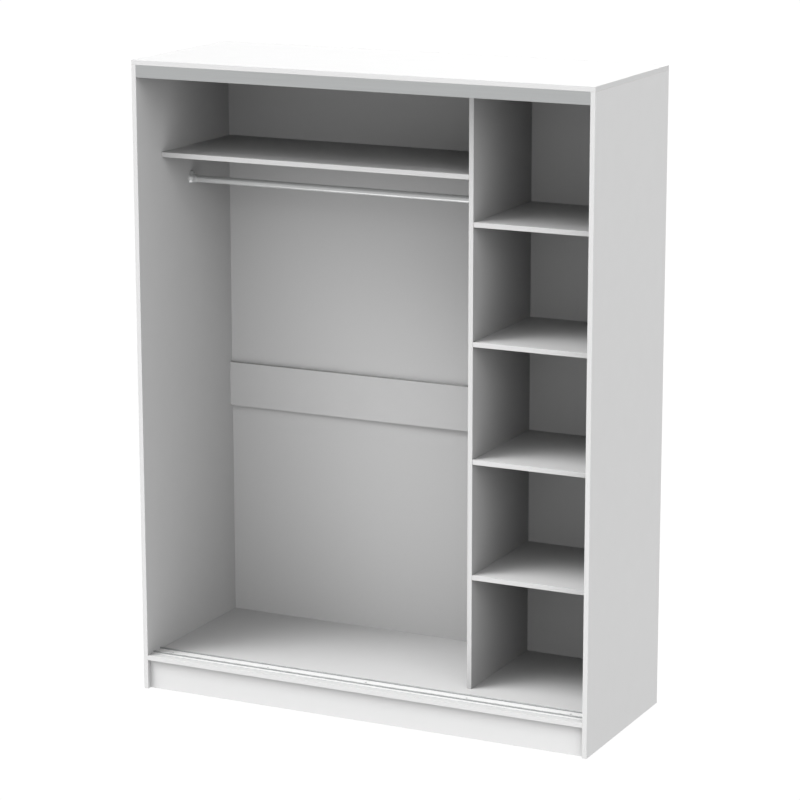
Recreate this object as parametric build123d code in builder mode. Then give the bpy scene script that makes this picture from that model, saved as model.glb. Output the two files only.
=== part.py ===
# An open wardrobe carcass of white boards, made to take two rows of sliding doors.
# A wide hanging space is on the left and a column of loose shelves on the right.
# Frame: millimetres, +X to the right, +Y to the back, +Z up from the floor.
# The origin is on the floor, under the middle of the whole object.
import os
from math import radians, tan

from build123d import *

# Carcass
width = 1520.0  # over the two side panels
depth = 574.0  # front to rear edge of the side panels
height = 2000.0  # floor to the top of the top panel
board = 15.0  # thickness of every board
back_thickness = 3.0  # thin sheets behind the carcass
back_margin = 2.0  # the sheets stop this far inside the outline
seam_gap = 1.0  # between two back sheets
plinth_height = 95.0
plinth_setback = 16.0  # both plinths, from the front and rear edges

# Inside
column_width = 428.5  # clear width of the shelf column
door_to_inside = 46.0  # top track to the front of the divider and shelves
upper_space = 286.0  # clear height above the upper shelf
top_compartment = 427.0  # clear height above the top column shelf
shelf_count = 4
shelf_side_gap = 0.75  # loose shelf to the boards beside it
shelf_rear_gap = 2.0  # loose shelf to the back sheet
back_rail_rise = 699.0  # bottom panel to the lower edge of the back rail
back_rail_height = 144.0

# Clothes rail and its sockets
rail_diameter = 22.0
rail_wall = 1.2
rail_drop = 91.0  # upper shelf to the rail's axis
rail_lead = 36.0  # rail's axis ahead of the middle of the upper shelf
rail_clearance = 0.05  # radial running clearance in the sockets
rail_end_play = 0.5
socket_collar_wall = 2.5
socket_collar_length = 14.0
socket_lip_wall = 1.5  # slimmer ring ahead of the collar
socket_depth = 25.0
socket_floor = 2.0  # under the end of the rail
socket_chamfer = 0.8
socket_lug_radius = 6.0  # lug above the collar, for the screw
socket_lug_length = 11.0
socket_screw_margin = 0.5  # screw's head to the collar

# Door tracks
fascia_height = 38.0
track_wall = 2.0
door_channel = 40.0  # clear width of a door's channel in the top track
chamber_depth = 16.0  # fascia chamber, ahead of the front channel
guide_height = 30.0  # the two flanges behind the fascia
track_base_thickness = 1.6
track_base_margin = 14.0  # bottom track beyond the middle of a rib
rib_width = 3.0
rib_height = 5.0  # above the track's base
track_screw_pitch = 360.0
track_end_inset = 60.0

# Knock-down fittings
bore_clearance = 0.1  # radial, between a fitting and its hole
blind_skin = 4.0  # board left behind a blind hole in a face
cam_radius = 7.5
cam_skin = 2.5  # board left behind a cam
cam_offset = 34.0  # edge of the board to the cam's centre
cam_pocket_gap = 0.5  # around the bolt's head
cam_cross_length = 8.0
cam_cross_width = 1.4
cam_cross_depth = 2.0
bolt_thread_radius = 2.5
bolt_collar_radius = 3.5
bolt_collar_length = 2.0
bolt_shank_radius = 3.0
bolt_neck_radius = 1.8
bolt_neck_length = 4.0
bolt_head_radius = 3.2
bolt_head_length = 1.5
bolt_bore_gap = 0.5  # around the bolt's collar
cap_lip = 1.0  # cap beyond the cam
cap_thickness = 1.0
dowel_radius = 4.0
dowel_grip = 20.0  # depth in the edge of a board
dowel_end_gap = 0.5
dowel_chamfer = 1.0
dowel_step = 32.0  # cam to dowel
joint_inset = 60.0  # first cam from the edge of a board
track_to_joint = 30.0  # top track to the first cam of the sides
plinth_dowel_inset = 15.0  # from the plinth's edges
back_rail_dowel_inset = 20.0  # from the back rail's edges

# Screws, nails and shelf pins
screw_radius = 1.75
screw_head_radius = 3.2
screw_head_height = 1.6
screw_skin = 3.0  # board left past a screw's tip
sunk_angle = 90.0  # countersunk head
sunk_lip = 0.15  # track base left under a sunk head
screw_cross_length = 3.6
screw_cross_width = 0.8
screw_cross_depth = 0.9
nail_radius = 0.8
nail_head_radius = 1.75
nail_head_height = 0.8
nail_tip = 2.0
nail_skin = 2.0  # board left past a nail's tip
nail_pitch = 160.0
nail_end_inset = 80.0
nail_seam_offset = 25.0  # nail rows on the back rail, each side of the seam
pin_radius = 2.5
pin_skin = 6.0  # board left behind a pin
pin_inset = 50.0  # pins from the shelf's front and rear edges
tongue_length = 10.0
tongue_width = 11.0
tongue_thickness = 4.0
tongue_corner = 3.0

# Planes of the carcass
front = -(depth + back_thickness) / 2
rear = front + depth
left = -width / 2
right = width / 2
inner_left = left + board
inner_right = right - board
under_top = height - board
base_top = plinth_height + board
divider_right = inner_right - column_width
divider_left = divider_right - board
divider_middle = divider_left + board / 2
upper_shelf_top = under_top - upper_space
upper_shelf_under = upper_shelf_top - board
back_rail_low = base_top + back_rail_rise
back_rail_high = back_rail_low + back_rail_height
back_rail_middle = (back_rail_low + back_rail_high) / 2
shelf_pitch = (under_top - base_top - top_compartment) / shelf_count
shelf_tops = [base_top + shelf_pitch * (step + 1) for step in range(shelf_count)]

# Planes of the tracks, measured back from the front edges, and what stands behind them
door_pitch = door_channel + track_wall
first_door_depth = chamber_depth + door_channel / 2
second_door_depth = first_door_depth + door_pitch
top_track_depth = second_door_depth + door_channel / 2 + track_wall
track_length = inner_right - inner_left
inner_front = front + top_track_depth + door_to_inside

# Plinths
front_plinth_rear = front + plinth_setback + board
rear_plinth_front = rear - plinth_setback - board

# Axis of the clothes rail
rail_y = (inner_front + rear) / 2 - rail_lead
rail_z = upper_shelf_under - rail_drop
rail_radius = rail_diameter / 2
cup_radius = rail_radius + rail_clearance
collar_radius = cup_radius + socket_collar_wall
socket_lug_rise = collar_radius + socket_screw_margin + screw_head_radius

# Sizes of holes and fittings that follow from the boards and from each other
blind_depth = board - blind_skin
cam_depth = board - cam_skin
screw_grip = board - screw_skin
nail_grip = board - nail_skin
pin_depth = board - pin_skin
bolt_bore_radius = bolt_collar_radius + bolt_bore_gap
cam_pocket_radius = bolt_head_radius + cam_pocket_gap
cam_overrun = bolt_head_length + cam_pocket_gap
sunk_depth = track_base_thickness - sunk_lip
sunk_head_radius = screw_radius + sunk_depth * tan(radians(sunk_angle / 2))

x_axis = Vector(1, 0, 0)
y_axis = Vector(0, 1, 0)
z_axis = Vector(0, 0, 1)

os.makedirs("parts", exist_ok=True)


def save(builder, name):
    """Label a finished piece and write it."""
    builder.part.label = name
    export_step(builder.part, f"parts/{name}.step")


# Every hole that a fitting needs is noted for its board, and drilled when the board is made.
bores = {}
cam_planes = []
capped_cams = []
bolt_planes = []
dowel_planes = []
pin_planes = []
nail_planes = {}
socket_screw_planes = []


def note_bore(name, mouth, radius, bore_depth):
    """Note a round hole in a board; the mouth's Z points out of the wood."""
    bores.setdefault(name, {}).setdefault((radius, bore_depth), []).append(mouth)


def cam_joint(face_board, edge_board, point, into, cam_side, capped=False):
    """A bolt in face_board, pulled by a cam in edge_board.

    The point is where the bolt crosses the joint, into points along it into edge_board, and
    cam_side is the face of edge_board that the cam is let into.
    """
    cam_mouth = point + into * cam_offset + cam_side * (board / 2)
    bolt_planes.append(Plane(point, z_dir=into))
    cam_planes.append(Plane(cam_mouth, x_dir=-into, z_dir=cam_side))
    if capped:
        capped_cams.append(Plane(cam_mouth, z_dir=cam_side))
    note_bore(face_board, Plane(point, z_dir=into), bolt_thread_radius + bore_clearance, blind_depth)
    note_bore(edge_board, Plane(point, z_dir=-into), bolt_bore_radius, cam_offset)
    note_bore(edge_board, Plane(cam_mouth, z_dir=cam_side), cam_radius + bore_clearance, cam_depth)


def dowel_joint(face_board, edge_board, point, into):
    """A dowel between the face of one board and the edge of another."""
    dowel_planes.append(Plane(point, z_dir=into))
    note_bore(face_board, Plane(point, z_dir=into), dowel_radius + bore_clearance, blind_depth)
    note_bore(edge_board, Plane(point, z_dir=-into), dowel_radius + bore_clearance, dowel_grip)


def spread(low, high, inset, pitch):
    """Even places from low to high, the inset kept at both ends, no further apart than the pitch."""
    span = high - low - 2 * inset
    gaps = max(1, round(span / pitch))
    return [low + inset + span * step / gaps for step in range(gaps + 1)]


# Joints of the boards: a cam and a dowel at each row, the dowel on the row's inner side
side_rows = (
    (front + top_track_depth + track_to_joint, dowel_step),
    (rear - joint_inset, -dowel_step),
)
inner_rows = (
    (inner_front + joint_inset, dowel_step),
    (rear - joint_inset, -dowel_step),
)
sides = (
    ("left_side_panel", left, inner_left, x_axis),
    ("right_side_panel", right, inner_right, -x_axis),
)

for side_name, outer_x, inner_x, inward in sides:
    side_middle = (outer_x + inner_x) / 2
    for row_y, step in side_rows:
        top_point = Vector(side_middle, row_y, under_top)
        cam_joint("top_panel", side_name, top_point, -z_axis, inward, capped=True)
        dowel_joint("top_panel", side_name, top_point + y_axis * step, -z_axis)
        base_point = Vector(inner_x, row_y, plinth_height + board / 2)
        cam_joint(side_name, "bottom_panel", base_point, inward, -z_axis)
        dowel_joint(side_name, "bottom_panel", base_point + y_axis * step, inward)
    plinth_dowel_reach = plinth_height / 2 - plinth_dowel_inset
    for plinth_name, plinth_y, cam_side in (
        ("front_plinth", front_plinth_rear - board / 2, y_axis),
        ("rear_plinth", rear_plinth_front + board / 2, -y_axis),
    ):
        plinth_point = Vector(inner_x, plinth_y, plinth_height / 2)
        cam_joint(side_name, plinth_name, plinth_point, inward, cam_side)
        for reach in (-plinth_dowel_reach, plinth_dowel_reach):
            dowel_joint(side_name, plinth_name, plinth_point + z_axis * reach, inward)

for row_y, step in inner_rows:
    for panel_name, panel_z, into in (
        ("top_panel", under_top, -z_axis),
        ("bottom_panel", base_top, z_axis),
    ):
        divider_point = Vector(divider_middle, row_y, panel_z)
        cam_joint(panel_name, "divider_panel", divider_point, into, -x_axis, capped=True)
        dowel_joint(panel_name, "divider_panel", divider_point + y_axis * step, into)
    for panel_name, panel_x, into in (
        ("left_side_panel", inner_left, x_axis),
        ("divider_panel", divider_left, -x_axis),
    ):
        shelf_point = Vector(panel_x, row_y, upper_shelf_top - board / 2)
        cam_joint(panel_name, "upper_shelf", shelf_point, into, -z_axis, capped=True)
        dowel_joint(panel_name, "upper_shelf", shelf_point + y_axis * step, into)

for panel_name, panel_x, into in (
    ("left_side_panel", inner_left, x_axis),
    ("divider_panel", divider_left, -x_axis),
):
    back_rail_point = Vector(panel_x, rear - board / 2, back_rail_middle)
    cam_joint(panel_name, "back_rail", back_rail_point, into, y_axis)
    back_rail_dowel_reach = back_rail_height / 2 - back_rail_dowel_inset
    for reach in (-back_rail_dowel_reach, back_rail_dowel_reach):
        dowel_joint(panel_name, "back_rail", back_rail_point + z_axis * reach, into)

# The base: dowels from the plinths up into the bottom panel, and at the ends of the support
for plinth_name, plinth_y, face_y, inward in (
    ("front_plinth", front_plinth_rear - board / 2, front_plinth_rear, y_axis),
    ("rear_plinth", rear_plinth_front + board / 2, rear_plinth_front, -y_axis),
):
    for span_middle in ((inner_left + divider_left) / 2, (divider_right + inner_right) / 2):
        dowel_joint("bottom_panel", plinth_name, Vector(span_middle, plinth_y, plinth_height), -z_axis)
    for reach in (-plinth_dowel_reach, plinth_dowel_reach):
        support_point = Vector(divider_middle, face_y, plinth_height / 2 + reach)
        dowel_joint(plinth_name, "base_support", support_point, inward)

# Shelf pins, four under each loose shelf
shelf_rear = rear - shelf_rear_gap
for shelf_top in shelf_tops:
    for pin_y in (inner_front + pin_inset, shelf_rear - pin_inset):
        for panel_name, panel_x, outward in (
            ("divider_panel", divider_right, x_axis),
            ("right_side_panel", inner_right, -x_axis),
        ):
            pin_seat = Vector(panel_x, pin_y, shelf_top - board - tongue_thickness / 2)
            pin_planes.append(Plane(pin_seat, x_dir=outward, z_dir=z_axis))
            note_bore(panel_name, Plane(pin_seat, z_dir=outward), pin_radius + bore_clearance, pin_depth)

# Sockets of the rail: a peg on the rail's axis and a screw above it
for panel_name, panel_x, outward in (
    ("left_side_panel", inner_left, x_axis),
    ("divider_panel", divider_left, -x_axis),
):
    peg_seat = Vector(panel_x, rail_y, rail_z)
    screw_seat = peg_seat + z_axis * socket_lug_rise
    socket_screw_planes.append(Plane(screw_seat + outward * socket_lug_length, z_dir=outward))
    note_bore(panel_name, Plane(peg_seat, z_dir=outward), pin_radius + bore_clearance, pin_depth)
    note_bore(panel_name, Plane(screw_seat, z_dir=outward), screw_radius + bore_clearance, screw_grip)

# Screws of the tracks: up into the top panel in both channels, and down between the ribs
track_screw_places = spread(inner_left, inner_right, track_end_inset, track_screw_pitch)
between_ribs = front + (first_door_depth + second_door_depth) / 2
top_screw_planes = [
    Plane((screw_x, front + door_depth, under_top - track_wall), z_dir=-z_axis)
    for screw_x in track_screw_places
    for door_depth in (first_door_depth, second_door_depth)
]
bottom_screw_planes = [
    Plane((screw_x, between_ribs, base_top + track_base_thickness), z_dir=z_axis)
    for screw_x in track_screw_places
]
for seat in top_screw_planes:
    mouth = Plane(seat.origin + z_axis * track_wall, z_dir=-z_axis)
    note_bore("top_panel", mouth, screw_radius + bore_clearance, screw_grip)
for seat in bottom_screw_planes:
    mouth = Plane(seat.origin - z_axis * track_base_thickness, z_dir=z_axis)
    note_bore("bottom_panel", mouth, screw_radius + bore_clearance, screw_grip)

# Back sheets and the nails along everything that they lie against
sheet_low = plinth_height + back_margin
sheet_high = height - back_margin
sheet_left = left + back_margin
sheet_right = right - back_margin
seam_left = divider_middle - seam_gap / 2
seam_right = divider_middle + seam_gap / 2
seam_low = back_rail_middle - seam_gap / 2
seam_high = back_rail_middle + seam_gap / 2
sheet_corners = {
    "back_sheet_left_lower": (sheet_left, sheet_low, seam_left, seam_low),
    "back_sheet_left_upper": (sheet_left, seam_high, seam_left, sheet_high),
    "back_sheet_right": (seam_right, sheet_low, sheet_right, sheet_high),
}


def note_nail(sheet_name, board_name, x, z):
    """Note a nail through a back sheet into the rear edge or face of a board."""
    nail_planes.setdefault(sheet_name, []).append(Plane((x, rear + back_thickness, z), z_dir=y_axis))
    note_bore(board_name, Plane((x, rear, z), z_dir=y_axis), nail_radius + bore_clearance, nail_grip)


left_nail_columns = (
    ("left_side_panel", left + board / 2),
    ("divider_panel", divider_left + board / 4),
)
right_nail_columns = (
    ("divider_panel", divider_right - board / 4),
    ("right_side_panel", right - board / 2),
)
lower_nail_heights = spread(base_top, back_rail_low, nail_end_inset, nail_pitch)
upper_nail_heights = spread(back_rail_high, under_top, nail_end_inset, nail_pitch)
for sheet_name, nail_heights in (
    ("back_sheet_left_lower", lower_nail_heights),
    ("back_sheet_left_upper", upper_nail_heights),
):
    for board_name, nail_x in left_nail_columns:
        for nail_z in nail_heights:
            note_nail(sheet_name, board_name, nail_x, nail_z)
for board_name, nail_x in right_nail_columns:
    for nail_z in lower_nail_heights + upper_nail_heights:
        note_nail("back_sheet_right", board_name, nail_x, nail_z)
for nail_x in spread(inner_left, divider_left, nail_end_inset, nail_pitch):
    note_nail("back_sheet_left_lower", "bottom_panel", nail_x, base_top - board / 2)
    note_nail("back_sheet_left_lower", "back_rail", nail_x, back_rail_middle - nail_seam_offset)
    note_nail("back_sheet_left_upper", "back_rail", nail_x, back_rail_middle + nail_seam_offset)
    note_nail("back_sheet_left_upper", "upper_shelf", nail_x, upper_shelf_top - board / 2)
    note_nail("back_sheet_left_upper", "top_panel", nail_x, height - board / 2)
for nail_x in spread(divider_right, inner_right, nail_end_inset, nail_pitch):
    note_nail("back_sheet_right", "bottom_panel", nail_x, base_top - board / 2)
    note_nail("back_sheet_right", "top_panel", nail_x, height - board / 2)


def make_board(name, low, high):
    """A board between two corners, with all the holes noted for it."""
    with BuildPart() as panel:
        with BuildSketch(Plane.XY.offset(low[2])):
            with Locations(((low[0] + high[0]) / 2, (low[1] + high[1]) / 2)):
                Rectangle(high[0] - low[0], high[1] - low[1])
        extrude(amount=high[2] - low[2])
        for (radius, bore_depth), mouths in bores.get(name, {}).items():
            with Locations(*mouths):
                Hole(radius, bore_depth)
    save(panel, name)


# Boards
make_board("left_side_panel", (left, front, 0), (inner_left, rear, under_top))
make_board("right_side_panel", (inner_right, front, 0), (right, rear, under_top))
make_board("top_panel", (left, front, under_top), (right, rear, height))
make_board("bottom_panel", (inner_left, front, plinth_height), (inner_right, rear, base_top))
make_board("divider_panel", (divider_left, inner_front, base_top), (divider_right, rear, under_top))
make_board(
    "upper_shelf",
    (inner_left, inner_front, upper_shelf_under),
    (divider_left, rear, upper_shelf_top),
)
make_board(
    "back_rail",
    (inner_left, rear - board, back_rail_low),
    (divider_left, rear, back_rail_high),
)
make_board(
    "front_plinth",
    (inner_left, front_plinth_rear - board, 0),
    (inner_right, front_plinth_rear, plinth_height),
)
make_board(
    "rear_plinth",
    (inner_left, rear_plinth_front, 0),
    (inner_right, rear_plinth_front + board, plinth_height),
)
make_board(
    "base_support",
    (divider_left, front_plinth_rear, 0),
    (divider_right, rear_plinth_front, plinth_height),
)
for number, shelf_top in enumerate(shelf_tops, start=1):
    make_board(
        f"column_shelf_{number}",
        (divider_right + shelf_side_gap, inner_front, shelf_top - board),
        (inner_right - shelf_side_gap, shelf_rear, shelf_top),
    )

# Back sheets, with a sunk seat for each nail's head
for sheet_name, (low_x, low_z, high_x, high_z) in sheet_corners.items():
    with BuildPart() as back_sheet:
        with BuildSketch(Plane.XZ.offset(-rear)):
            with Locations(((low_x + high_x) / 2, (low_z + high_z) / 2)):
                Rectangle(high_x - low_x, high_z - low_z)
        extrude(amount=-back_thickness)
        with Locations(*nail_planes[sheet_name]):
            CounterBoreHole(
                nail_radius + bore_clearance,
                nail_head_radius + bore_clearance,
                nail_head_height,
                back_thickness,
            )
    save(back_sheet, sheet_name)

# Top track: a closed fascia chamber in front of two channels that open downwards
flange_rears = (second_door_depth - door_channel / 2, top_track_depth)
with BuildPart() as top_track:
    with BuildSketch(Plane.YZ.offset(inner_left)):
        with BuildLine():
            outline = [(front, under_top), (front, under_top - fascia_height)]
            outline += [(front + chamber_depth, under_top - fascia_height)]
            for flange_rear in flange_rears:
                channel_front = flange_rear - track_wall - door_channel
                flange_front = flange_rear - track_wall
                outline += [
                    (front + channel_front, under_top - track_wall),
                    (front + flange_front, under_top - track_wall),
                    (front + flange_front, under_top - guide_height),
                    (front + flange_rear, under_top - guide_height),
                ]
            outline += [(front + top_track_depth, under_top)]
            Polyline(*outline, close=True)
        make_face()
        with Locations((front + chamber_depth / 2, under_top - fascia_height / 2)):
            Rectangle(chamber_depth - 2 * track_wall, fascia_height - 2 * track_wall, mode=Mode.SUBTRACT)
    extrude(amount=track_length)
    with Locations(*top_screw_planes):
        Hole(screw_radius + bore_clearance, track_wall)
save(top_track, "top_track")

# Bottom track: a flat base with two round-topped running ribs
rib_shoulder = rib_height - rib_width / 2
with BuildPart() as bottom_track:
    with BuildSketch(Plane.YZ.offset(inner_left)):
        base_depth = door_pitch + 2 * track_base_margin
        with Locations((between_ribs, base_top + track_base_thickness / 2)):
            Rectangle(base_depth, track_base_thickness)
        for door_depth in (first_door_depth, second_door_depth):
            rib_y = front + door_depth
            shoulder_z = base_top + track_base_thickness + rib_shoulder
            with Locations((rib_y, shoulder_z - rib_shoulder / 2)):
                Rectangle(rib_width, rib_shoulder)
            with Locations((rib_y, shoulder_z)):
                Circle(rib_width / 2)
    extrude(amount=track_length)
    with Locations(*bottom_screw_planes):
        CounterSinkHole(
            screw_radius + bore_clearance,
            sunk_head_radius + bore_clearance,
            track_base_thickness,
            sunk_angle,
        )
save(bottom_track, "bottom_track")

# Clothes rail: a plain tube, free to turn in its sockets
rail_inset = socket_floor + rail_end_play
with BuildPart() as clothes_rail:
    with BuildSketch(Plane.YZ.offset(inner_left + rail_inset)):
        with Locations((rail_y, rail_z)):
            Circle(rail_radius)
            Circle(rail_radius - rail_wall, mode=Mode.SUBTRACT)
    extrude(amount=divider_left - inner_left - 2 * rail_inset)
save(clothes_rail, "clothes_rail")


def make_socket(name, panel_x, outward):
    """A cup for one end of the clothes rail, with a peg behind it and a lug for a screw above it."""
    seat = Plane((panel_x, rail_y, rail_z), x_dir=y_axis, z_dir=outward)
    lug_seat = Plane((panel_x, rail_y, rail_z + socket_lug_rise), x_dir=y_axis, z_dir=outward)
    with BuildPart() as socket:
        with BuildSketch(seat):
            Circle(collar_radius)
        extrude(amount=socket_collar_length)
        with BuildSketch(seat.offset(socket_collar_length)):
            Circle(cup_radius + socket_lip_wall)
        extrude(amount=socket_depth - socket_collar_length)
        rims = socket.edges().filter_by(GeomType.CIRCLE).group_by(Axis(seat.origin, outward))
        collar_rim = rims[1].sort_by(SortBy.RADIUS)[-1]
        chamfer([collar_rim, *rims[-1]], socket_chamfer)
        with BuildSketch(seat):
            Circle(collar_radius)
            with Locations(seat.to_local_coords(lug_seat.origin)):
                Circle(socket_lug_radius)
            make_hull()
        extrude(amount=socket_lug_length)
        with BuildSketch(seat.offset(socket_floor)):
            Circle(cup_radius)
        extrude(amount=socket_depth - socket_floor, mode=Mode.SUBTRACT)
        with BuildSketch(seat):
            Circle(pin_radius)
        extrude(amount=-(pin_depth - dowel_end_gap))
        with Locations(lug_seat.offset(socket_lug_length)):
            Hole(screw_radius + bore_clearance, socket_lug_length)
    save(socket, name)


make_socket("rail_socket_left", inner_left, x_axis)
make_socket("rail_socket_right", divider_left, -x_axis)


def group(name, blank, planes):
    """One node holding a copy of a fitting at each plane."""
    with BuildPart() as fittings:
        with Locations(*planes):
            add(blank.part)
    save(fittings, name)


def cross_slots(top_z, length, slot_width, slot_depth):
    """Cut a cross recess into the fitting that is being made."""
    with BuildSketch(Plane.XY.offset(top_z)) as cross:
        Rectangle(length, slot_width)
        Rectangle(slot_width, length)
    extrude(cross.sketch, amount=-slot_depth, mode=Mode.SUBTRACT)


# Cam lock: its mouth is at Z = 0 and the bolt comes in along X
with BuildPart() as cam_lock:
    Cylinder(cam_radius, cam_depth, align=(Align.CENTER, Align.CENTER, Align.MAX))
    with Locations(Plane((cam_radius, 0, -board / 2), z_dir=x_axis)):
        Hole(cam_pocket_radius, cam_radius + cam_overrun)
    cross_slots(0, cam_cross_length, cam_cross_width, cam_cross_depth)
group("cam_locks", cam_lock, cam_planes)

# Plain cover cap over each cam that can be seen from inside
with BuildPart() as cam_cap:
    Cylinder(
        cam_radius + bore_clearance + cap_lip,
        cap_thickness,
        align=(Align.CENTER, Align.CENTER, Align.MIN),
    )
    chamfer(cam_cap.faces().sort_by(Axis.Z)[-1].edges(), cap_thickness / 2)
group("cam_caps", cam_cap, capped_cams)

# Bolt: its thread is below Z = 0, in the face board, and its head is in the cam
neck_start = cam_offset - bolt_neck_length
with BuildPart() as cam_bolt:
    with BuildSketch(Plane.XZ):
        with BuildLine():
            Polyline(
                (0, -blind_depth + dowel_end_gap),
                (bolt_thread_radius, -blind_depth + dowel_end_gap),
                (bolt_thread_radius, 0),
                (bolt_collar_radius, 0),
                (bolt_collar_radius, bolt_collar_length),
                (bolt_shank_radius, bolt_collar_length),
                (bolt_shank_radius, neck_start),
                (bolt_neck_radius, neck_start),
                (bolt_neck_radius, cam_offset),
                (bolt_head_radius, cam_offset),
                (bolt_head_radius, cam_offset + bolt_head_length),
                (0, cam_offset + bolt_head_length),
                close=True,
            )
        make_face()
    revolve(axis=Axis.Z)
group("cam_bolts", cam_bolt, bolt_planes)

# Dowel, half in the face of one board and half in the edge of the other
with BuildPart() as dowel:
    with BuildSketch(Plane.XY.offset(-blind_depth + dowel_end_gap)):
        Circle(dowel_radius)
    extrude(amount=blind_depth + dowel_grip - 2 * dowel_end_gap)
    chamfer(dowel.edges().filter_by(GeomType.CIRCLE), dowel_chamfer)
group("dowels", dowel, dowel_planes)

# Shelf pin: a round peg in the board, and a flat tongue that the shelf lies on
with BuildPart() as shelf_pin:
    with BuildSketch():
        with Locations((tongue_length / 2, 0)):
            Rectangle(tongue_length, tongue_width)
    extrude(amount=tongue_thickness / 2, both=True)
    outer_corners = shelf_pin.edges().filter_by(Axis.Z).group_by(Axis.X)[-1]
    fillet(outer_corners, tongue_corner)
    with BuildSketch(Plane.YZ):
        Circle(pin_radius)
    extrude(amount=-(pin_depth - dowel_end_gap))
group("shelf_pins", shelf_pin, pin_planes)


def pan_screw(grip):
    """A pan-head screw seated at Z = 0, its shank going down."""
    with BuildPart() as screw:
        Cylinder(screw_head_radius, screw_head_height, align=(Align.CENTER, Align.CENTER, Align.MIN))
        fillet(screw.faces().sort_by(Axis.Z)[-1].edges(), screw_head_height / 2)
        Cylinder(screw_radius, grip, align=(Align.CENTER, Align.CENTER, Align.MAX))
        cross_slots(screw_head_height, screw_cross_length, screw_cross_width, screw_cross_depth)
    return screw


group("top_track_screws", pan_screw(track_wall + screw_grip - dowel_end_gap), top_screw_planes)
group(
    "rail_socket_screws",
    pan_screw(socket_lug_length + screw_grip - dowel_end_gap),
    socket_screw_planes,
)

# Countersunk screw, flush with the base of the bottom track
with BuildPart() as sunk_screw:
    with BuildSketch(Plane.XZ):
        with BuildLine():
            Polyline(
                (0, 0),
                (sunk_head_radius, 0),
                (screw_radius, -sunk_depth),
                (screw_radius, -track_base_thickness - screw_grip + dowel_end_gap),
                (0, -track_base_thickness - screw_grip + dowel_end_gap),
                close=True,
            )
        make_face()
    revolve(axis=Axis.Z)
    cross_slots(0, screw_cross_length, screw_cross_width, screw_cross_depth)
group("bottom_track_screws", sunk_screw, bottom_screw_planes)

# Nail, its head sunk flush with the back sheet
nail_end = -(back_thickness + nail_grip - dowel_end_gap)
with BuildPart() as nail:
    with BuildSketch(Plane.XZ):
        with BuildLine():
            Polyline(
                (0, 0),
                (nail_head_radius, 0),
                (nail_head_radius, -nail_head_height),
                (nail_radius, -nail_head_height),
                (nail_radius, nail_end + nail_tip),
                (0, nail_end),
                close=True,
            )
        make_face()
    revolve(axis=Axis.Z)
group("back_nails", nail, [plane for planes in nail_planes.values() for plane in planes])
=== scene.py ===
import math

import bpy
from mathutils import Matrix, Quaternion, Vector


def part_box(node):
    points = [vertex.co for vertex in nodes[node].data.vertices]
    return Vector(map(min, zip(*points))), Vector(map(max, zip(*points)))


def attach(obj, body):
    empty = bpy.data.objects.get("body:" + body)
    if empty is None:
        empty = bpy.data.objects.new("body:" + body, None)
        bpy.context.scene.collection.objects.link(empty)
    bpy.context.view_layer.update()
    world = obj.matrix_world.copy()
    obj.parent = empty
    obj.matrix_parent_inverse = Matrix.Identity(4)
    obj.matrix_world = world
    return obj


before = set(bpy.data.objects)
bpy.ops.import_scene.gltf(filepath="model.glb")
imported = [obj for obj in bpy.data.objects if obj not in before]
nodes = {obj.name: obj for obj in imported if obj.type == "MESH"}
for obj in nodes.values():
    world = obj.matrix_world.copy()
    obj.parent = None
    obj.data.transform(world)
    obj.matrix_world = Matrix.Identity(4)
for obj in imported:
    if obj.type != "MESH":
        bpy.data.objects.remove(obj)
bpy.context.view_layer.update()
scene = bpy.context.scene
mm = 0.001  # the scene is in metres
touch = 0.01 * mm  # what is nearer to a plane than this lies on it
squareOn = 0.9  # least share of a normal along an axis for a face that looks that way


def hexColour(code):
    # sRGB hex to the linear values that the shader works in
    channels = [int(code[i:i + 2], 16) / 255 for i in (1, 3, 5)]
    return [c / 12.92 if c <= 0.04045 else ((c + 0.055) / 1.055) ** 2.4 for c in channels] + [1.0]


def perMetre(size):
    # texture scale for a feature of this size in millimetres
    return 1000 / size


def addNode(tree, kind, inputs=None, **settings):
    # Math and Mix sockets go by number; in a Mix, 0 is the factor, 2 and 3 are values, 6 and 7 colours,
    # and the result is output 0 for values and output 2 for colours
    node = tree.nodes.new(kind)
    for name, value in settings.items():
        setattr(node, name, value)
    for name, value in (inputs or {}).items():
        if isinstance(value, bpy.types.NodeSocket):
            tree.links.new(value, node.inputs[name])
        else:
            node.inputs[name].default_value = value
    return node


def newMaterial(name):
    material = bpy.data.materials.new(name)
    material.use_nodes = True
    tree = material.node_tree
    tree.nodes.clear()
    place = addNode(tree, "ShaderNodeTexCoord").outputs["Object"]
    return material, tree, place


def closeMaterial(tree, look, colour, pattern):
    # the pattern that stands in the surface also varies its shine
    shine = addNode(
        tree,
        "ShaderNodeMapRange",
        {
            "Value": pattern,
            "To Min": look["roughness"] - look["shineSpread"],
            "To Max": look["roughness"] + look["shineSpread"],
        },
    )
    relief = addNode(tree, "ShaderNodeBump", {"Height": pattern, "Distance": look["relief"] * mm})
    shader = addNode(
        tree,
        "ShaderNodeBsdfPrincipled",
        {
            "Base Color": colour,
            "Roughness": shine.outputs["Result"],
            "Normal": relief.outputs["Normal"],
            **look["shader"],
        },
    )
    addNode(tree, "ShaderNodeOutputMaterial", {"Surface": shader.outputs["BSDF"]})


grainDetail = 3.0  # finer octaves in the marks of a plain finish


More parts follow.
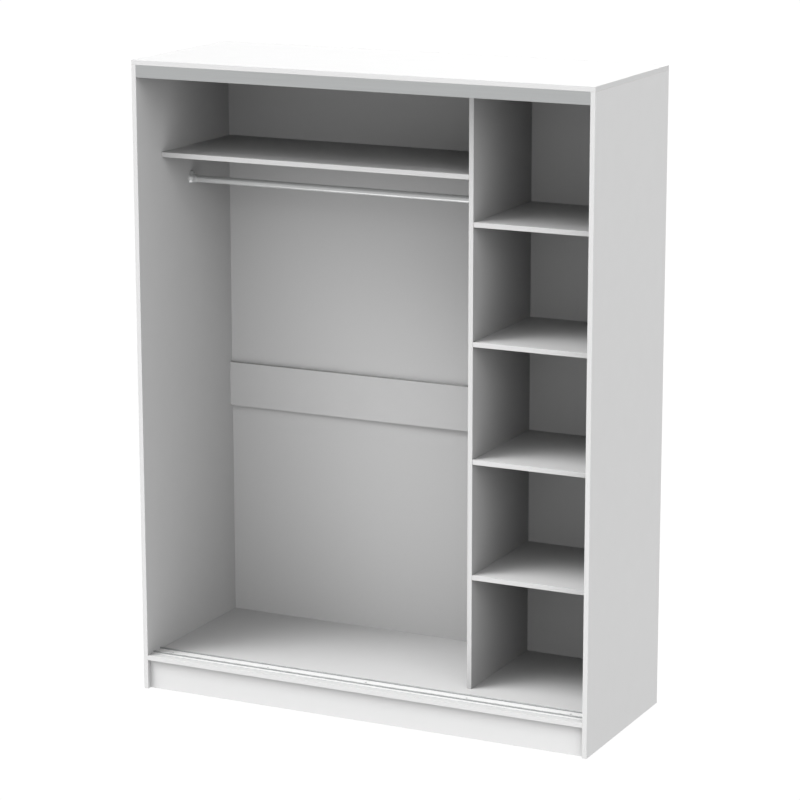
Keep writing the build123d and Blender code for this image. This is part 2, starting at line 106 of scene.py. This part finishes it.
def grainMaterial(name, look):
    # two shades of one finish, mixed by marks of the grain's size in x, y and z
    material, tree, place = newMaterial(name)
    scale = [perMetre(size) for size in look["grain"]]
    grain = addNode(tree, "ShaderNodeMapping", {"Vector": place, "Scale": scale})
    marks = addNode(
        tree, "ShaderNodeTexNoise", {"Vector": grain.outputs["Vector"], "Scale": 1.0, "Detail": grainDetail}
    )
    colour = addNode(
        tree,
        "ShaderNodeMix",
        {0: marks.outputs["Fac"], 6: hexColour(look["deep"]), 7: hexColour(look["pale"])},
        data_type="RGBA",
    )
    closeMaterial(tree, look, colour.outputs[2], marks.outputs["Fac"])
    return material


# Melamine-faced chipboard: printed paper cured in resin against a pearl-textured plate.
# The eye gets an even white with hardly any shine, a faint cloudiness and a fine pimpled grain.
melamine = {
    "pale": "#E8E8E8",
    "deep": "#E5E5E5",
    "joint": "#B9B9B9",  # glue line beside an edge band
    "cloud": 60.0,  # mm
    "cloudDetail": 3.0,
    "pimple": 1.6,  # mm; about 0.4 on the real board, drawn coarser so that it shows
    "pimpleDetail": 1.0,
    "bandThickness": 0.8,  # mm
    "jointWidth": 0.15,  # mm
    "relief": 0.008,  # mm
    "roughness": 0.52,
    "shineSpread": 0.06,
    "shader": {"IOR": 1.5},
}
melamineCache = {}


def melamineFace(bandPlanes):
    # bandPlanes: where an edge band meets this face, as (axis, place) pairs
    if bandPlanes in melamineCache:
        return melamineCache[bandPlanes]
    material, tree, place = newMaterial("whiteMelamine%d" % (len(melamineCache) + 1))
    cloud = addNode(
        tree,
        "ShaderNodeTexNoise",
        {"Vector": place, "Scale": perMetre(melamine["cloud"]), "Detail": melamine["cloudDetail"]},
    )
    colour = addNode(
        tree,
        "ShaderNodeMix",
        {0: cloud.outputs["Fac"], 6: hexColour(melamine["deep"]), 7: hexColour(melamine["pale"])},
        data_type="RGBA",
    ).outputs[2]
    parts = addNode(tree, "ShaderNodeSeparateXYZ", {"Vector": place})
    for axis, plane in bandPlanes:
        nearJoint = addNode(
            tree,
            "ShaderNodeMath",
            {0: parts.outputs[axis], 1: plane, 2: melamine["jointWidth"] / 2 * mm},
            operation="COMPARE",
        )
        colour = addNode(
            tree,
            "ShaderNodeMix",
            {0: nearJoint.outputs["Value"], 6: colour, 7: hexColour(melamine["joint"])},
            data_type="RGBA",
        ).outputs[2]
    pimples = addNode(
        tree,
        "ShaderNodeTexNoise",
        {"Vector": place, "Scale": perMetre(melamine["pimple"]), "Detail": melamine["pimpleDetail"]},
    )
    closeMaterial(tree, melamine, colour, pimples.outputs["Fac"])
    melamineCache[bandPlanes] = material
    return material


# ABS edge band: an extruded strip, glued on and scraped flush.
# The eye gets a plain white a touch smoother than the faces, with faint scraper lines along it.
edgeBand = {
    "pale": "#E3E3E3",
    "deep": "#E0E0E0",
    "line": 2.0,  # mm; about 0.3 on the real band, drawn coarser so that it shows
    "run": 300.0,  # mm
    "relief": 0.006,  # mm
    "roughness": 0.42,
    "shineSpread": 0.05,
    "shader": {"IOR": 1.53},
}


def absEdgeBand(axis):
    # axis: the way that the band runs
    look = dict(edgeBand)
    look["grain"] = [edgeBand["run"] if i == axis else edgeBand["line"] for i in range(3)]
    return grainMaterial("absEdgeBand" + "XYZ"[axis], look)


# Bare chipboard: pressed wood chips, sawn, with no cover.
# The eye gets a patchwork of straw and brown chips, dull and slightly rough.
chipboard = {
    "straw": "#CDAF84",
    "brown": "#8F6B43",
    "chip": 3.0,  # mm
    "dust": 0.9,  # mm
    "dustDetail": 2.0,
    "dustShare": 0.3,
    "relief": 0.09,  # mm
    "roughness": 0.85,
    "shineSpread": 0.08,
    "shader": {"IOR": 1.45},
}


def bareChipboard():
    material, tree, place = newMaterial("bareChipboard")
    chips = addNode(tree, "ShaderNodeTexVoronoi", {"Vector": place, "Scale": perMetre(chipboard["chip"])})
    tone = addNode(tree, "ShaderNodeSeparateColor", {"Color": chips.outputs["Color"]})
    dust = addNode(
        tree,
        "ShaderNodeTexNoise",
        {"Vector": place, "Scale": perMetre(chipboard["dust"]), "Detail": chipboard["dustDetail"]},
    )
    mixed = addNode(
        tree, "ShaderNodeMix", {0: chipboard["dustShare"], 2: tone.outputs["Red"], 3: dust.outputs["Fac"]}
    ).outputs[0]
    colour = addNode(
        tree,
        "ShaderNodeMix",
        {0: mixed, 6: hexColour(chipboard["straw"]), 7: hexColour(chipboard["brown"])},
        data_type="RGBA",
    )
    closeMaterial(tree, chipboard, colour.outputs[2], mixed)
    return material


# Hardboard: steamed wood fibre pressed thin, lacquered white on the inner face and bare behind.
# Inside the eye gets a flat white with a slight orange peel, and outside a warm brown felt of short fibres.
whiteLacquer = {
    "pale": "#E8E8E8",
    "deep": "#E5E5E5",
    "grain": (4.0, 4.0, 4.0),  # mm
    "relief": 0.01,  # mm
    "roughness": 0.5,
    "shineSpread": 0.05,
    "shader": {"IOR": 1.5},
}
hardboard = {
    "brown": "#A07A54",
    "dark": "#4E331C",
    "fibre": 7.0,  # mm; well under 1 on the real sheet, drawn coarser so that it shows
    "fibreRun": 12.0,  # mm
    "fibreDetail": 5.0,
    "fibreCurl": 1.5,
    "patch": 120.0,  # mm
    "patchDetail": 4.0,
    "patchShare": 0.35,
    "relief": 0.04,  # mm
    "roughness": 0.7,
    "shineSpread": 0.1,
    "shader": {"IOR": 1.5},
}


def bareHardboard():
    material, tree, place = newMaterial("bareHardboard")
    felt = addNode(
        tree,
        "ShaderNodeMapping",
        {"Vector": place, "Scale": (perMetre(hardboard["fibre"]), 1.0, perMetre(hardboard["fibreRun"]))},
    )
    fibres = addNode(
        tree,
        "ShaderNodeTexNoise",
        {
            "Vector": felt.outputs["Vector"],
            "Scale": 1.0,
            "Detail": hardboard["fibreDetail"],
            "Distortion": hardboard["fibreCurl"],
        },
    )
    patches = addNode(
        tree,
        "ShaderNodeTexNoise",
        {"Vector": place, "Scale": perMetre(hardboard["patch"]), "Detail": hardboard["patchDetail"]},
    )
    tone = addNode(
        tree,
        "ShaderNodeMix",
        {0: hardboard["patchShare"], 2: fibres.outputs["Fac"], 3: patches.outputs["Fac"]},
    )
    colour = addNode(
        tree,
        "ShaderNodeMix",
        {0: tone.outputs[0], 6: hexColour(hardboard["dark"]), 7: hexColour(hardboard["brown"])},
        data_type="RGBA",
    )
    closeMaterial(tree, hardboard, colour.outputs[2], fibres.outputs["Fac"])
    return material


bandMaterials = [absEdgeBand(axis) for axis in range(3)]
chipMaterial = bareChipboard()
print("board materials ready")

# Boards: which outer edges carry a band; all other edges and every bore show bare chipboard
boards = {
    "left_side_panel": ["-y"],
    "right_side_panel": ["-y"],
    "top_panel": ["-y", "-x", "+x"],
    "bottom_panel": ["-y"],
    "divider_panel": ["-y"],
    "upper_shelf": ["-y"],
    "back_rail": ["-z", "+z"],
    "front_plinth": [],
    "rear_plinth": [],
    "base_support": [],
    "column_shelf_1": ["-y"],
    "column_shelf_2": ["-y"],
    "column_shelf_3": ["-y"],
    "column_shelf_4": ["-y"],
}
boardEdge = {"radius": 0.4, "segments": 3, "seam": 0.002}  # mm; seam joins the split corners of the mesh


def outerSide(polygon, low, high):
    # name of the box side that a face lies on, or None inside a bore
    axis = max(range(3), key=lambda i: abs(polygon.normal[i]))
    if polygon.normal[axis] > 0:
        side, plane = "+" + "xyz"[axis], high[axis]
    else:
        side, plane = "-" + "xyz"[axis], low[axis]
    return side if abs(polygon.center[axis] - plane) < touch else None


def roundOuterEdges(part, low, high):
    # the CAD mesh keeps its points: the weld and the bevel are modifiers, and only box edges are marked
    mesh = part.data
    mesh.attributes.remove(mesh.attributes["custom_normal"])
    mesh.shade_flat()
    marks = mesh.attributes.new("bevel_weight_edge", "FLOAT", "EDGE")
    for edge in mesh.edges:
        ends = [mesh.vertices[i].co for i in edge.vertices]
        planes = 0
        for axis in range(3):
            for plane in (low[axis], high[axis]):
                planes += all(abs(end[axis] - plane) < touch for end in ends)
        marks.data[edge.index].value = 1.0 if planes >= 2 else 0.0  # a box edge lies on two planes
    weld = part.modifiers.new("joinCorners", "WELD")
    weld.merge_threshold = boardEdge["seam"] * mm
    bevel = part.modifiers.new("softEdges", "BEVEL")
    bevel.limit_method = "WEIGHT"
    bevel.width = boardEdge["radius"] * mm
    bevel.segments = boardEdge["segments"]
    bevel.use_clamp_overlap = False


def setMaterials(part, materials):
    part.data.materials.clear()
    for material in materials:
        part.data.materials.append(material)


for node, banded in boards.items():
    part = nodes[node]
    low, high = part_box(node)
    thin = min(range(3), key=lambda i: high[i] - low[i])
    jointPlanes = []
    bands = {}
    for side in banded:
        axis = "xyz".index(side[1])
        edge, inwards = (high[axis], -1) if side[0] == "+" else (low[axis], 1)
        plane = edge + inwards * melamine["bandThickness"] * mm
        jointPlanes.append((axis, round(plane, 5)))  # rounded, so that like boards share a material
        bands[side] = bandMaterials[3 - thin - axis]  # it runs along the third axis
    materials = [melamineFace(tuple(jointPlanes)), chipMaterial]
    materials += [band for band in bandMaterials if band in bands.values()]
    setMaterials(part, materials)
    for polygon in part.data.polygons:
        side = outerSide(polygon, low, high)
        if side and "xyz".index(side[1]) == thin:
            polygon.material_index = 0
        else:
            polygon.material_index = materials.index(bands.get(side, chipMaterial))
    roundOuterEdges(part, low, high)
print("boards finished:", len(boards))

# Back sheets: white towards the room, bare brown behind and on the cut edges
backSheets = ["back_sheet_left_lower", "back_sheet_left_upper", "back_sheet_right"]
sheetMaterials = [grainMaterial("whiteLacqueredHardboard", whiteLacquer), bareHardboard()]
for node in backSheets:
    setMaterials(nodes[node], sheetMaterials)
    for polygon in nodes[node].data.polygons:
        polygon.material_index = 0 if polygon.normal.y < -squareOn else 1
print("back sheets finished:", len(backSheets))

# Door tracks of aluminium: extruded, matt-etched and anodised in its natural grey.
# The eye gets an even satin grey with die lines along the length.
satinAluminium = {
    "pale": "#E1E3E3",
    "deep": "#DADCDC",
    "grain": (500.0, 2.5, 2.5),  # mm; finer on the real profile, drawn coarser so that it shows
    "relief": 0.004,  # mm
    "roughness": 0.42,
    "shineSpread": 0.05,
    "shader": {"Metallic": 1.0},
}
# Its ribs are painted a mid grey satin: painted shade for the dark lines along them.
paintedShadeRibs = {**satinAluminium, "pale": "#ABADAD", "deep": "#A4A6A6"}
# Its faces that look up, before the rear rib, are painted a matt white: a painted highlight where the metal
# would shine.
whitePaintedHighlight = {
    "pale": "#FFFFFF",
    "deep": "#FAFAFA",
    "grain": (500.0, 2.5, 2.5),  # mm
    "relief": 0.004,  # mm
    "roughness": 0.6,
    "shineSpread": 0.05,
    "shader": {"Specular IOR Level": 0.0},
}
# Behind the rear rib the painted highlight is painted dimmer, a paler grey matt
dimmerPaintedHighlight = {**whitePaintedHighlight, "pale": "#E4E4E4", "deep": "#DFDFDF"}
satin = grainMaterial("satinAnodisedAluminium", satinAluminium)
lowerTrackMaterials = [
    satin,
    grainMaterial("ribsWithPaintedShade", paintedShadeRibs),
    grainMaterial("whitePaintedHighlight", whitePaintedHighlight),
    grainMaterial("dimmerPaintedHighlight", dimmerPaintedHighlight),
]
lowerTrack = {"base": 1.6, "doorPitch": 42.0}  # mm; thickness under the ribs, and rib to rib
setMaterials(nodes["top_track"], [satin])
setMaterials(nodes["bottom_track"], lowerTrackMaterials)
low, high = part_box("bottom_track")
baseTop = low[2] + lowerTrack["base"] * mm
rearRib = (low[1] + high[1]) / 2 + lowerTrack["doorPitch"] / 2 * mm
for polygon in nodes["bottom_track"].data.polygons:
    # the ribs take the painted shade
    if polygon.center.z > baseTop + touch:
        polygon.material_index = 1
    # faces that look up take the painted highlight
    elif polygon.normal.z > squareOn:
        # behind the rear rib the painted highlight is dimmer
        polygon.material_index = 2 if polygon.center.y < rearRib else 3
    else:
        polygon.material_index = 0
print("door tracks finished")

# Clothes rail of chromed steel tube: polished along its length and plated.
# The eye gets a soft mirror drawn out along the tube, dark above and bright below.
chromedTube = {
    "pale": "#EDEEEE",
    "deep": "#E7E8E8",
    "grain": (400.0, 2.0, 2.0),  # mm
    "relief": 0.002,  # mm
    "roughness": 0.4,
    "shineSpread": 0.04,
    "shader": {"Metallic": 1.0},
}
# Sockets of zinc: diecast, tumbled and plated. The eye gets a soft shine broken by a slight ripple.
platedCasting = {
    "pale": "#E6E7E7",
    "deep": "#DCDDDD",
    "grain": (3.0, 3.0, 3.0),  # mm
    "relief": 0.006,  # mm
    "roughness": 0.46,
    "shineSpread": 0.05,
    "shader": {"Metallic": 1.0},
}
# Screws, nails, bolts and pins of steel: cold headed and zinc plated. The eye gets a dull grey glint.
zincPlatedSteel = {
    "pale": "#C9CBCA",
    "deep": "#B3B5B2",
    "grain": (1.5, 1.5, 1.5),  # mm
    "relief": 0.01,  # mm
    "roughness": 0.38,
    "shineSpread": 0.06,
    "shader": {"Metallic": 1.0},
}
# Cams of zinc: diecast and left bare. The eye gets a matt, slightly grainy grey.
diecastZinc = {
    "pale": "#B9BAB8",
    "deep": "#A4A5A2",
    "grain": (1.0, 1.0, 1.0),  # mm
    "relief": 0.02,  # mm
    "roughness": 0.5,
    "shineSpread": 0.08,
    "shader": {"Metallic": 1.0},
}
# Dowels of beech: turned and fluted. The eye gets a pale pinkish wood with short dark flecks.
beech = {
    "pale": "#D9B88C",
    "deep": "#B98F60",
    "grain": (6.0, 0.8, 0.8),  # mm
    "relief": 0.03,  # mm
    "roughness": 0.6,
    "shineSpread": 0.06,
    "shader": {"IOR": 1.5},
}
# Cover caps of polypropylene: moulded in a sparked tool. The eye gets a soft waxy white.
polypropylene = {
    "pale": "#E6E6E6",
    "deep": "#DEDEDE",
    "grain": (0.8, 0.8, 0.8),  # mm
    "relief": 0.01,  # mm
    "roughness": 0.45,
    "shineSpread": 0.05,
    "shader": {"IOR": 1.49},
}
fittings = {
    "chromedSteelTube": (chromedTube, ["clothes_rail"]),
    "platedZincCasting": (platedCasting, ["rail_socket_left", "rail_socket_right"]),
    "zincPlatedSteel": (
        zincPlatedSteel,
        [
            "rail_socket_screws",
            "top_track_screws",
            "bottom_track_screws",
            "back_nails",
            "cam_bolts",
            "shelf_pins",
        ],
    ),
    "diecastZinc": (diecastZinc, ["cam_locks"]),
    "beech": (beech, ["dowels"]),
    "whitePolypropylene": (polypropylene, ["cam_caps"]),
}
for name, (look, fitted) in fittings.items():
    material = grainMaterial(name, look)
    for node in fitted:
        setMaterials(nodes[node], [material])
    print("fitted in", name + ":", ", ".join(fitted))

# Flared foot of each rail socket: a cone round the collar that catches the light from in front.
# It is open at the top, inside the socket's lug, where the screw runs.
socketFoot = {
    "foot": 17.0,  # mm; radius at the board
    "neck": 13.7,  # mm; radius at the far end
    "bore": 13.5,  # mm; radius of the hole that the collar fills
    "rim": 2.5,  # mm; straight part at the board
    "length": 10.0,  # mm
    "screwGap": 0.5,  # mm; room beside the screw, at its head
    "sides": 64,
    "crease": 30.0,  # degrees; what bends more than this stays sharp
}


def addSocketFoot(name, panelX, outward):
    # outward: 1 where the board lies on the left of the socket, -1 where it lies on the right
    low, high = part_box("clothes_rail")
    axisY, axisZ = (low[1] + high[1]) / 2, (low[2] + high[2]) / 2
    low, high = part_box("rail_socket_screws")
    headRadius, headRise = (high[2] - low[2]) / 2, (high[2] + low[2]) / 2 - axisZ
    halfOpening = math.asin((headRadius + socketFoot["screwGap"] * mm) / headRise)
    profile = [  # along the axis, and from it
        (0.0, socketFoot["bore"]),
        (0.0, socketFoot["foot"]),
        (socketFoot["rim"], socketFoot["foot"]),
        (socketFoot["length"], socketFoot["neck"]),
        (socketFoot["length"], socketFoot["bore"]),
    ]
    sides, rings = socketFoot["sides"], len(profile)
    ringSize = sides + 1
    points = []
    for along, radius in profile:
        for i in range(ringSize):
            turn = math.pi / 2 + halfOpening + 2 * (math.pi - halfOpening) * i / sides
            points.append(
                (
                    panelX + outward * along * mm,
                    axisY + radius * mm * math.cos(turn),
                    axisZ + radius * mm * math.sin(turn),
                )
            )
    faces = [  # the two ends beside the screw, then the faces round the axis
        [ring * ringSize for ring in range(rings)],
        [ring * ringSize + sides for ring in reversed(range(rings))],
    ]
    for ring in range(rings):
        here, after = ring * ringSize, (ring + 1) % rings * ringSize
        for i in range(sides):
            faces.append([here + i, here + i + 1, after + i + 1, after + i])
    if outward < 0:
        faces = [face[::-1] for face in faces]
    mesh = bpy.data.meshes.new(name)
    mesh.from_pydata(points, [], faces)
    mesh.shade_smooth()
    mesh.set_sharp_from_angle(angle=math.radians(socketFoot["crease"]))
    part = bpy.data.objects.new(name, mesh)
    scene.collection.objects.link(part)
    setMaterials(part, [bpy.data.materials["platedZincCasting"]])
    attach(part, "carcass")


addSocketFoot("socketFootLeft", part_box("left_side_panel")[1][0], 1)
addSocketFoot("socketFootRight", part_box("divider_panel")[0][0], -1)
print("socket feet added")

# Floor: white paper lit from below. It is plain white to the eye, a soft light from below to the
# boards, and a paler grey in the metal.
floor = {
    "side": 160.0,  # m
    "drop": 0.5,  # mm; keeps it clear of the boards' lower edges
    "colour": "#FFFFFF",
    "glow": 0.77,  # strength for the boards
    "inMetal": 0.5,  # strength in reflections
    "seen": 1.02,  # strength for the eye
}
bpy.ops.mesh.primitive_plane_add(size=floor["side"], location=(0, 0, -floor["drop"] * mm))
paperFloor = bpy.context.object
paperFloor.name = "paperFloor"
paper, paperTree = newMaterial("backlitPaper")[:2]
paperRays = addNode(paperTree, "ShaderNodeLightPath")
paperLight = addNode(
    paperTree,
    "ShaderNodeMix",
    {0: paperRays.outputs["Is Glossy Ray"], 2: floor["glow"], 3: floor["inMetal"]},
)
paperSeen = addNode(
    paperTree,
    "ShaderNodeMix",
    {0: paperRays.outputs["Is Camera Ray"], 2: paperLight.outputs[0], 3: floor["seen"]},
)
paperGlow = addNode(
    paperTree, "ShaderNodeEmission", {"Color": hexColour(floor["colour"]), "Strength": paperSeen.outputs[0]}
)
addNode(paperTree, "ShaderNodeOutputMaterial", {"Surface": paperGlow.outputs["Emission"]})
setMaterials(paperFloor, [paper])


def bearing(azimuth, elevation):
    # unit vector towards a place round the object: azimuth 0 is the front and 90 the right
    a, e = math.radians(azimuth), math.radians(elevation)
    return Vector((math.sin(a) * math.cos(e), -math.cos(a) * math.cos(e), math.sin(e)))


# Studio light: soft sources far away, drawn in the world as round glows
softLights = {  # spread: degrees from the middle at which the glow has fallen to a third
    "key": {"azimuth": -50, "elevation": 50, "spread": 15, "strength": 9.5},
    "top": {"azimuth": -60, "elevation": 70, "spread": 15, "strength": 4.8},
    "rightFill": {"azimuth": 60, "elevation": 25, "spread": 31, "strength": 1.72},
    "frontFill": {"azimuth": 0, "elevation": 20, "spread": 48, "strength": 0.7},
    "backFill": {"azimuth": 180, "elevation": 12, "spread": 31, "strength": 2.2},
}
studio = bpy.data.worlds.new("studio")
studio.use_nodes = True
studioTree = studio.node_tree
studioTree.nodes.clear()
direction = addNode(studioTree, "ShaderNodeTexCoord").outputs["Generated"]
glow = 0.0
for light in softLights.values():
    aim = bearing(light["azimuth"], light["elevation"])
    narrow = 1 / (1 - math.cos(math.radians(light["spread"])))
    facing = addNode(studioTree, "ShaderNodeVectorMath", {0: direction, 1: aim}, operation="DOT_PRODUCT")
    falloff = addNode(
        studioTree,
        "ShaderNodeMath",
        {0: facing.outputs["Value"], 1: narrow, 2: -narrow},
        operation="MULTIPLY_ADD",
    )
    disc = addNode(studioTree, "ShaderNodeMath", {0: falloff.outputs["Value"]}, operation="EXPONENT")
    glow = addNode(
        studioTree,
        "ShaderNodeMath",
        {0: disc.outputs["Value"], 1: light["strength"], 2: glow},
        operation="MULTIPLY_ADD",
    ).outputs["Value"]
studioSeen = addNode(
    studioTree,
    "ShaderNodeMix",
    {
        0: addNode(studioTree, "ShaderNodeLightPath").outputs["Is Camera Ray"],
        2: glow,
        3: floor["seen"],
    },
)
backdrop = addNode(
    studioTree,
    "ShaderNodeBackground",
    {"Color": hexColour(floor["colour"]), "Strength": studioSeen.outputs[0]},
)
addNode(studioTree, "ShaderNodeOutputWorld", {"Surface": backdrop.outputs["Background"]})
scene.world = studio
scene.cycles.diffuse_bounces = 0  # the photograph's shadows keep no light from wall to wall
scene.view_settings.view_transform = "Standard"

# A gridded soft box on the floor shines up in front, and draws the bright line along the clothes rail
softBox = {
    "width": 2.4,  # m
    "depth": 1.3,  # m
    "x": -0.35,  # m
    "y": -1.0,  # m
    "lift": 1.0,  # mm over the ground
    "spread": 90.0,  # degrees
    "power": 9.0,  # W
}
softBoxLight = bpy.data.lights.new("softBox", "AREA")
softBoxLight.shape = "RECTANGLE"
softBoxLight.size = softBox["width"]
softBoxLight.size_y = softBox["depth"]
softBoxLight.spread = math.radians(softBox["spread"])
softBoxLight.energy = softBox["power"]
softBoxPlace = bpy.data.objects.new("softBox", softBoxLight)
softBoxPlace.location = (softBox["x"], softBox["y"], softBox["lift"] * mm)
softBoxPlace.rotation_euler = (math.pi, 0, 0)  # a light shines down its own Z
softBoxPlace.visible_diffuse = False
softBoxPlace.visible_camera = False
scene.collection.objects.link(softBoxPlace)
print("studio light:", ", ".join(softLights), "and a soft box")

# Camera, solved from the carcass's own straight edges
view = {
    "azimuth": 26.014,  # degrees
    "elevation": 13.103,  # degrees
    "roll": -0.06,  # degrees
    "distance": 9.318,  # m
    "aim": Vector((0.0052, 0.0, 0.9575)),  # m
    "lens": 135.9,  # mm
    "sensor": 36.0,  # mm
}
lookFrom = bearing(view["azimuth"], view["elevation"])
camera = bpy.data.objects.new("camera", bpy.data.cameras.new("camera"))
scene.collection.objects.link(camera)
camera.data.lens = view["lens"]
camera.data.sensor_width = view["sensor"]
camera.location = view["aim"] + view["distance"] * lookFrom
roll = Quaternion((0, 0, 1), math.radians(view["roll"]))
camera.rotation_euler = (lookFrom.to_track_quat("Z", "Y") @ roll).to_euler()
scene.camera = camera
